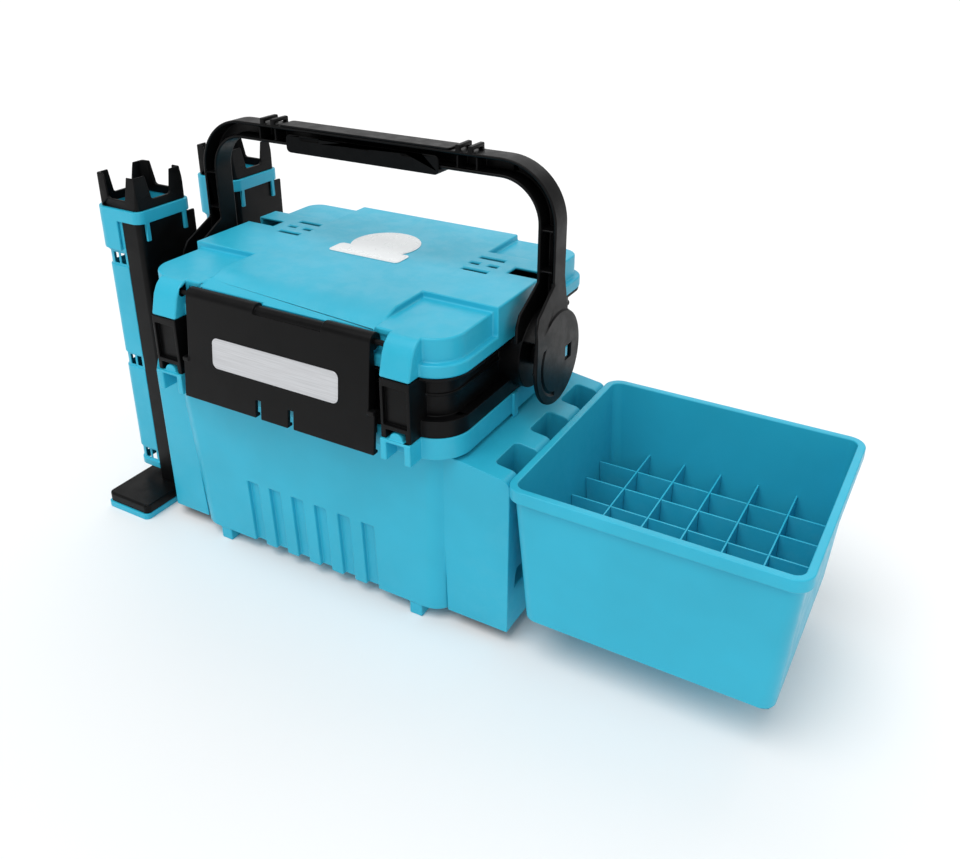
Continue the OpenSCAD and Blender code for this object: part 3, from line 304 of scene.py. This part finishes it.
def drawn_metal_material(name, colour, roughness, along):
    """A satin metal with fine lines along one axis; along is the lines' frequency on each axis."""
    material = bpy.data.materials.new(name + FINISH)
    material.use_nodes = True
    tree = material.node_tree
    links = tree.links
    shader = tree.nodes["Principled BSDF"]
    shader.inputs["Metallic"].default_value = 0.85
    coords = node_of(tree, "ShaderNodeTexCoord", (-1000, 0))
    stretch = node_of(tree, "ShaderNodeMapping", (-800, 0))
    stretch.inputs["Scale"].default_value = along
    links.new(coords.outputs["Object"], stretch.inputs["Vector"])
    lines = noise_at(tree, (-600, 100), 1.0, 3.0)
    links.new(stretch.outputs["Vector"], lines.inputs["Vector"])
    tone = ramp_between(tree, (-400, 200), 0.3, 0.7, 0.88, 1.06)
    links.new(lines.outputs["Fac"], tone.inputs["Value"])
    tint = node_of(tree, "ShaderNodeVectorMath", (-200, 200), operation="SCALE")
    tint.inputs[0].default_value = colour
    links.new(tone.outputs["Result"], tint.inputs["Scale"])
    links.new(tint.outputs["Vector"], shader.inputs["Base Color"])
    sheen = ramp_between(tree, (-400, -50), 0.3, 0.7, roughness - 0.06, roughness + 0.08)
    links.new(lines.outputs["Fac"], sheen.inputs["Value"])
    links.new(sheen.outputs["Result"], shader.inputs["Roughness"])
    relief = node_of(tree, "ShaderNodeBump", (-200, -250))
    relief.inputs["Strength"].default_value = 0.15
    relief.inputs["Distance"].default_value = 0.05 * MM
    links.new(lines.outputs["Fac"], relief.inputs["Height"])
    links.new(relief.outputs["Normal"], shader.inputs["Normal"])
    return material


def make_finishes():
    """The cabinet's finishes, each built once and named after its record slot."""
    colours = bpy.context.scene.cabinet_colours
    grain = bpy.context.scene.cabinet_sizes.grain
    moulded_skin_group()
    handling_marks_group()
    moulded_material("blue_plastic", colours.blue, (0.10, 0.53, 0.70),
                     roughness=0.36, gloss=0.32, drift=0.05, wear=0.22, grain=grain, bump=0.18)
    moulded_material("black_plastic", colours.black, (0.012, 0.012, 0.013),
                     roughness=0.36, gloss=0.12, drift=0.2, wear=0.30, grain=grain, bump=0.25)
    moulded_material("grip_plastic", colours.grip, (0.014, 0.014, 0.015),
                     roughness=0.60, gloss=0.08, drift=0.2, wear=0.20, grain=2.4 * grain, bump=0.7)
    moulded_material("tray_plastic", colours.tray, (0.8, 0.82, 0.84),
                     roughness=0.45, gloss=0.4, drift=0.03, wear=0.1, grain=grain, bump=0.15)
    moulded_material("bare_badge", colours.badge, (0.62, 0.66, 0.68),
                     roughness=0.30, gloss=0.5, drift=0.03, wear=0.3, grain=grain, bump=0.08)
    moulded_material("seal_rubber", colours.rubber, (0.25, 0.25, 0.26),
                     roughness=0.65, gloss=0.3, drift=0.1, wear=0.1, grain=grain, bump=0.4)
    drawn_metal_material("bare_plate", colours.plate, roughness=0.34, along=(25.0, 1200.0, 1200.0))
    drawn_metal_material("pin_steel", colours.steel, roughness=0.28, along=(60.0, 1500.0, 1500.0))


# Modelling -----------------------------------------------------------------------------------

def only(piece):
    """Selects one object and makes it active."""
    bpy.ops.object.select_all(action="DESELECT")
    piece.select_set(True)
    bpy.context.view_layer.objects.active = piece


def apply_modifier(piece, kind, **values):
    only(piece)
    bpy.ops.object.modifier_add(type=kind)
    modifier = piece.modifiers[-1]
    for key, value in values.items():
        setattr(modifier, key, value)
    bpy.ops.object.modifier_apply(modifier=modifier.name)


def lay_strays_down(piece, solid, reach):
    """Bevels that met in a tight corner are laid back onto the solid's surface."""
    strays = []
    for vertex in piece.data.vertices:
        found, point, _, _ = solid.closest_point_on_mesh(vertex.co)
        if found and (point - vertex.co).length > reach:
            strays.append(vertex.index)
    if not strays:
        return
    group = piece.vertex_groups.new(name="strays")
    group.add(strays, 1.0, "REPLACE")
    apply_modifier(piece, "SHRINKWRAP", target=solid, wrap_method="NEAREST_SURFACEPOINT",
                   vertex_group="strays")
    piece.vertex_groups.clear()


def frames_an_opening(piece, face):
    """Whether a flat face fills little of the rectangle round it, as a rim or a frame does."""
    if len(face.vertices) <= 4:
        return False
    points = [piece.data.vertices[i].co for i in face.vertices]
    spans = [max(p[k] for p in points) - min(p[k] for p in points) for k in range(3)]
    across = max(range(3), key=lambda k: abs(face.normal[k]))
    wide, high = [spans[k] for k in range(3) if k != across]
    return face.area * abs(face.normal[across]) < FRAME_SHARE * wide * high


def split_frames(piece, split_all):
    """Cuts undersides and faces round an opening into triangles, so no bevel folds them over it."""
    bpy.ops.mesh.select_mode(type="FACE")
    bpy.ops.mesh.select_all(action="DESELECT")
    bpy.ops.object.mode_set(mode="OBJECT")
    for face in piece.data.polygons:
        up = face.normal.z
        frame_like = up < FACES_UP and frames_an_opening(piece, face)
        face.select = split_all or up < -FACES_UP or frame_like
    bpy.ops.object.mode_set(mode="EDIT")
    bpy.ops.mesh.quads_convert_to_tris(quad_method="BEAUTY", ngon_method="BEAUTY")


def sink_face(piece, facing, border, depth):
    """Insets the largest face that looks one way, and sinks it to leave a raised border."""
    way = Vector(facing)
    faces = [f for f in piece.data.polygons if f.normal.dot(way) > 0.9]
    largest = max(faces, key=lambda f: f.area).index
    bpy.ops.object.mode_set(mode="EDIT")
    bpy.ops.mesh.select_mode(type="FACE")
    bpy.ops.mesh.select_all(action="DESELECT")
    bpy.ops.object.mode_set(mode="OBJECT")
    piece.data.polygons[largest].select = True
    bpy.ops.object.mode_set(mode="EDIT")
    bpy.ops.mesh.inset(thickness=border, depth=0.0)
    bpy.ops.mesh.inset(thickness=depth, depth=-depth)
    bpy.ops.object.mode_set(mode="OBJECT")


def moulding(node, edge, segments=2, smooth=34.0, sunk=None, split_all=False):
    """A merged copy of a solid with rounded edges, which stands for that node.

    sunk gives the way a plate faces, its border's width and its depth. split_all cuts all of the
    piece's faces into triangles before its edges are rounded.
    """
    solid = frame["nodes"][node]
    piece = bpy.data.objects.new(node + "_moulding", solid.data.copy())
    bpy.context.scene.collection.objects.link(piece)
    only(piece)
    bpy.ops.object.mode_set(mode="EDIT")
    bpy.ops.mesh.select_all(action="SELECT")
    bpy.ops.mesh.remove_doubles(threshold=MERGE_REACH)
    bpy.ops.mesh.dissolve_limited(angle_limit=FLAT_TURN, use_dissolve_boundaries=False)
    split_frames(piece, split_all)
    bpy.ops.object.mode_set(mode="OBJECT")
    if sunk:
        sink_face(piece, *sunk)
    apply_modifier(piece, "BEVEL", width=edge, segments=segments, limit_method="ANGLE",
                   angle_limit=EDGE_TURN, use_clamp_overlap=False, miter_outer="MITER_SHARP")
    lay_strays_down(piece, solid, STRAY_SHARE * edge)
    bpy.ops.object.shade_smooth_by_angle(angle=radians(smooth))
    apply_modifier(piece, "WEIGHTED_NORMAL", mode="FACE_AREA", weight=100, keep_sharp=True)
    parts = frame["record"]["subparts"]
    slot = next(part["material_slot"] for part in parts if part["node"] == node)
    piece.data.materials.clear()
    piece.data.materials.append(bpy.data.materials[slot + FINISH])
    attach(piece, solid["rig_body"])
    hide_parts(node)
    return piece


# Operators -----------------------------------------------------------------------------------

class CabinetOperator:
    """Shared options of the cabinet's operators"""
    bl_options = {"REGISTER", "UNDO"}


class CABINET_OT_finishes(CabinetOperator, bpy.types.Operator):
    """Make the plastics, metals and rubber"""
    bl_idname = "cabinet.finishes"
    bl_label = "Finishes"

    def execute(self, context):
        make_finishes()
        return {"FINISHED"}


class CABINET_OT_tub(CabinetOperator, bpy.types.Operator):
    """Finish the blue tub with its wings, feet and brackets"""
    bl_idname = "cabinet.tub"
    bl_label = "Tub"

    def execute(self, context):
        moulding("tub", context.scene.cabinet_sizes.shell_edge)
        return {"FINISHED"}


class CABINET_OT_mid_frame(CabinetOperator, bpy.types.Operator):
    """Finish the black frame between tub and lid"""
    bl_idname = "cabinet.mid_frame"
    bl_label = "Mid Frame"

    def execute(self, context):
        moulding("mid_frame", context.scene.cabinet_sizes.frame_edge, split_all=True)
        return {"FINISHED"}


class CABINET_OT_lid(CabinetOperator, bpy.types.Operator):
    """Finish the lid, its seal and its round badge"""
    bl_idname = "cabinet.lid"
    bl_label = "Lid"

    def execute(self, context):
        sizes = context.scene.cabinet_sizes
        moulding("lid", sizes.lid_edge, segments=3)
        moulding("lid_seal", sizes.trim_edge)
        moulding("lid_badge", sizes.trim_edge, sunk=(UPWARD, BADGE_BORDER, PLATE_SINK))
        return {"FINISHED"}


class CABINET_OT_latch(CabinetOperator, bpy.types.Operator):
    """Finish the front latch and its bare plate"""
    bl_idname = "cabinet.latch"
    bl_label = "Latch"

    def execute(self, context):
        sizes = context.scene.cabinet_sizes
        moulding("front_latch", sizes.frame_edge)
        moulding("latch_label", sizes.trim_edge, sunk=(FORWARD, LABEL_BORDER, PLATE_SINK))
        return {"FINISHED"}


class CABINET_OT_handle(CabinetOperator, bpy.types.Operator):
    """Finish the bail handle, its grip and the strip on top"""
    bl_idname = "cabinet.handle"
    bl_label = "Handle"

    def execute(self, context):
        sizes = context.scene.cabinet_sizes
        moulding("handle", sizes.handle_edge)
        moulding("handle_grip", sizes.handle_edge)
        moulding("handle_cap", sizes.frame_edge)
        return {"FINISHED"}


class CABINET_OT_pins(CabinetOperator, bpy.types.Operator):
    """Finish the steel pins of lid, latch and handle"""
    bl_idname = "cabinet.pins"
    bl_label = "Pins"

    def execute(self, context):
        edge = context.scene.cabinet_sizes.trim_edge
        for node in ("lid_hinge_pins", "latch_pin", "handle_pin_left", "handle_pin_right"):
            moulding(node, edge)
        return {"FINISHED"}


class CABINET_OT_rod_holders(CabinetOperator, bpy.types.Operator):
    """Finish the six pieces of each rod holder"""
    bl_idname = "cabinet.rod_holders"
    bl_label = "Rod Holders"

    def execute(self, context):
        sizes = context.scene.cabinet_sizes
        for side in ("front", "rear"):
            for part, edge in (("back", sizes.frame_edge), ("tube", sizes.frame_edge),
                               ("collar", sizes.frame_edge), ("crown", sizes.frame_edge),
                               ("foot", sizes.handle_edge), ("tray", sizes.frame_edge)):
                moulding(f"{side}_holder_{part}", edge, split_all=part == "crown")
        return {"FINISHED"}


class CABINET_OT_jig_box(CabinetOperator, bpy.types.Operator):
    """Finish the jig box and its half-lapped cell strips"""
    bl_idname = "cabinet.jig_box"
    bl_label = "Jig Box"

    def execute(self, context):
        sizes = context.scene.cabinet_sizes
        moulding("jig_box", sizes.shell_edge)
        moulding("cell_strips_long", sizes.trim_edge)
        moulding("cell_strips_cross", sizes.trim_edge)
        return {"FINISHED"}


class CABINET_OT_inner_tray(CabinetOperator, bpy.types.Operator):
    """Finish the lift-out tray"""
    bl_idname = "cabinet.inner_tray"
    bl_label = "Inner Tray"

    def execute(self, context):
        moulding("inner_tray", context.scene.cabinet_sizes.frame_edge)
        return {"FINISHED"}


class CABINET_OT_stage(CabinetOperator, bpy.types.Operator):
    """Set up the floor, the soft lamps and the camera"""
    bl_idname = "cabinet.stage"
    bl_label = "Stage"

    def execute(self, context):
        lay_floor()
        hang_lamps()
        set_camera()
        return {"FINISHED"}


# Stage ---------------------------------------------------------------------------------------

FLOOR_SIZE = 40.0
FLOOR_TONE = 0.93
# Light from all round; the camera itself sees a white sky
SKY_LEVEL = 0.5
# The camera that was fitted to the photograph: direction, place, lens and shift
VIEW_AZIMUTH = radians(29.61)
VIEW_HEIGHT = radians(24.27)
VIEW_ROLL = radians(0.17)
VIEW_PLACE = Vector((0.44453, -0.71803, 0.63215))
VIEW_LENS = 35.845
VIEW_SHIFT_Y = -0.1016


def lay_floor():
    bpy.ops.object.select_all(action="DESELECT")
    bpy.ops.mesh.primitive_plane_add(size=FLOOR_SIZE, location=(0.0, 0.0, 0.0))
    floor = bpy.context.object
    floor.name = "studio_floor"
    material = bpy.data.materials.new("studio_floor")
    material.use_nodes = True
    tree = material.node_tree
    shader = tree.nodes["Principled BSDF"]
    shader.inputs["Base Color"].default_value = (FLOOR_TONE, FLOOR_TONE, FLOOR_TONE, 1.0)
    shader.inputs["Roughness"].default_value = 0.9
    shader.inputs["Specular IOR Level"].default_value = 0.1
    floor.data.materials.append(material)


def soft_lamp(name, azimuth, height, spread, power):
    """A distant soft lamp: azimuth from the front to the right, and its height above the floor."""
    bpy.ops.object.select_all(action="DESELECT")
    turn = (radians(90.0 - height), 0.0, radians(azimuth))
    bpy.ops.object.light_add(type="SUN", location=(0.0, 0.0, 3.0), rotation=turn)
    lamp = bpy.context.object
    lamp.name = name
    lamp.data.energy = power
    lamp.data.angle = radians(spread)


def hang_lamps():
    soft_lamp("key_lamp", azimuth=-15.0, height=64.0, spread=45.0, power=1.65)
    soft_lamp("back_lamp", azimuth=200.0, height=42.0, spread=60.0, power=0.65)
    soft_lamp("fill_lamp", azimuth=60.0, height=35.0, spread=70.0, power=0.30)
    world = bpy.data.worlds.new("studio")
    bpy.context.scene.world = world
    world.use_nodes = True
    tree = world.node_tree
    back = tree.nodes["Background"]
    back.inputs["Color"].default_value = (1.0, 1.0, 1.0, 1.0)
    seen = node_of(tree, "ShaderNodeLightPath", (-400, 0))
    strength = node_of(tree, "ShaderNodeMath", (-200, 0), operation="MULTIPLY_ADD")
    strength.inputs[1].default_value = 1.0 - SKY_LEVEL
    strength.inputs[2].default_value = SKY_LEVEL
    tree.links.new(seen.outputs["Is Camera Ray"], strength.inputs[0])
    tree.links.new(strength.outputs["Value"], back.inputs["Strength"])


def set_camera():
    """The photograph's view: its fitted direction, place, focal length and shift."""
    level = Vector((sin(VIEW_AZIMUTH), -cos(VIEW_AZIMUTH), 0.0)) * cos(VIEW_HEIGHT)
    back = level + Vector((0.0, 0.0, sin(VIEW_HEIGHT)))
    right = Vector((cos(VIEW_AZIMUTH), sin(VIEW_AZIMUTH), 0.0))
    up = back.cross(right)
    side = right * cos(VIEW_ROLL) + up * sin(VIEW_ROLL)
    top = up * cos(VIEW_ROLL) - right * sin(VIEW_ROLL)
    bpy.ops.object.select_all(action="DESELECT")
    bpy.ops.object.camera_add(location=VIEW_PLACE)
    camera = bpy.context.object
    camera.name = "photo_camera"
    turn = Matrix((side, top, back)).transposed().to_4x4()
    camera.matrix_world = Matrix.Translation(VIEW_PLACE) @ turn
    camera.data.sensor_fit = "HORIZONTAL"
    camera.data.sensor_width = 36.0
    camera.data.lens = VIEW_LENS
    camera.data.shift_y = VIEW_SHIFT_Y
    camera.data.clip_start = 0.01
    camera.data.clip_end = 60.0
    bpy.context.scene.camera = camera
    bpy.context.scene.view_settings.view_transform = "Standard"


# Panel and registration ----------------------------------------------------------------------

STEPS = (
    CABINET_OT_finishes,
    CABINET_OT_tub,
    CABINET_OT_mid_frame,
    CABINET_OT_lid,
    CABINET_OT_latch,
    CABINET_OT_handle,
    CABINET_OT_pins,
    CABINET_OT_rod_holders,
    CABINET_OT_jig_box,
    CABINET_OT_inner_tray,
    CABINET_OT_stage,
)


class CABINET_PT_panel(bpy.types.Panel):
    """Steps and finishes of the tackle cabinet"""
    bl_idname = "CABINET_PT_panel"
    bl_label = "Tackle Cabinet"
    bl_space_type = "VIEW_3D"
    bl_region_type = "UI"
    bl_category = "Cabinet"

    def draw(self, context):
        layout = self.layout
        for step in STEPS:
            layout.operator(step.bl_idname)
        for group in (context.scene.cabinet_colours, context.scene.cabinet_sizes):
            for name in group.bl_rna.properties.keys():
                if name not in ("rna_type", "name"):
                    layout.prop(group, name)


CLASSES = (CabinetColours, CabinetSizes, *STEPS, CABINET_PT_panel)


def register():
    for cls in CLASSES:
        bpy.utils.register_class(cls)
    bpy.types.Scene.cabinet_colours = bpy.props.PointerProperty(type=CabinetColours)
    bpy.types.Scene.cabinet_sizes = bpy.props.PointerProperty(type=CabinetSizes)


def unregister():
    del bpy.types.Scene.cabinet_sizes
    del bpy.types.Scene.cabinet_colours
    for cls in reversed(CLASSES):
        bpy.utils.unregister_class(cls)


def main():
    register()
    bpy.ops.cabinet.finishes()
    bpy.ops.cabinet.tub()
    bpy.ops.cabinet.mid_frame()
    bpy.ops.cabinet.lid()
    bpy.ops.cabinet.latch()
    bpy.ops.cabinet.handle()
    bpy.ops.cabinet.pins()
    bpy.ops.cabinet.rod_holders()
    bpy.ops.cabinet.jig_box()
    bpy.ops.cabinet.inner_tray()
    bpy.ops.cabinet.stage()


if __name__ == "__main__":
    main()
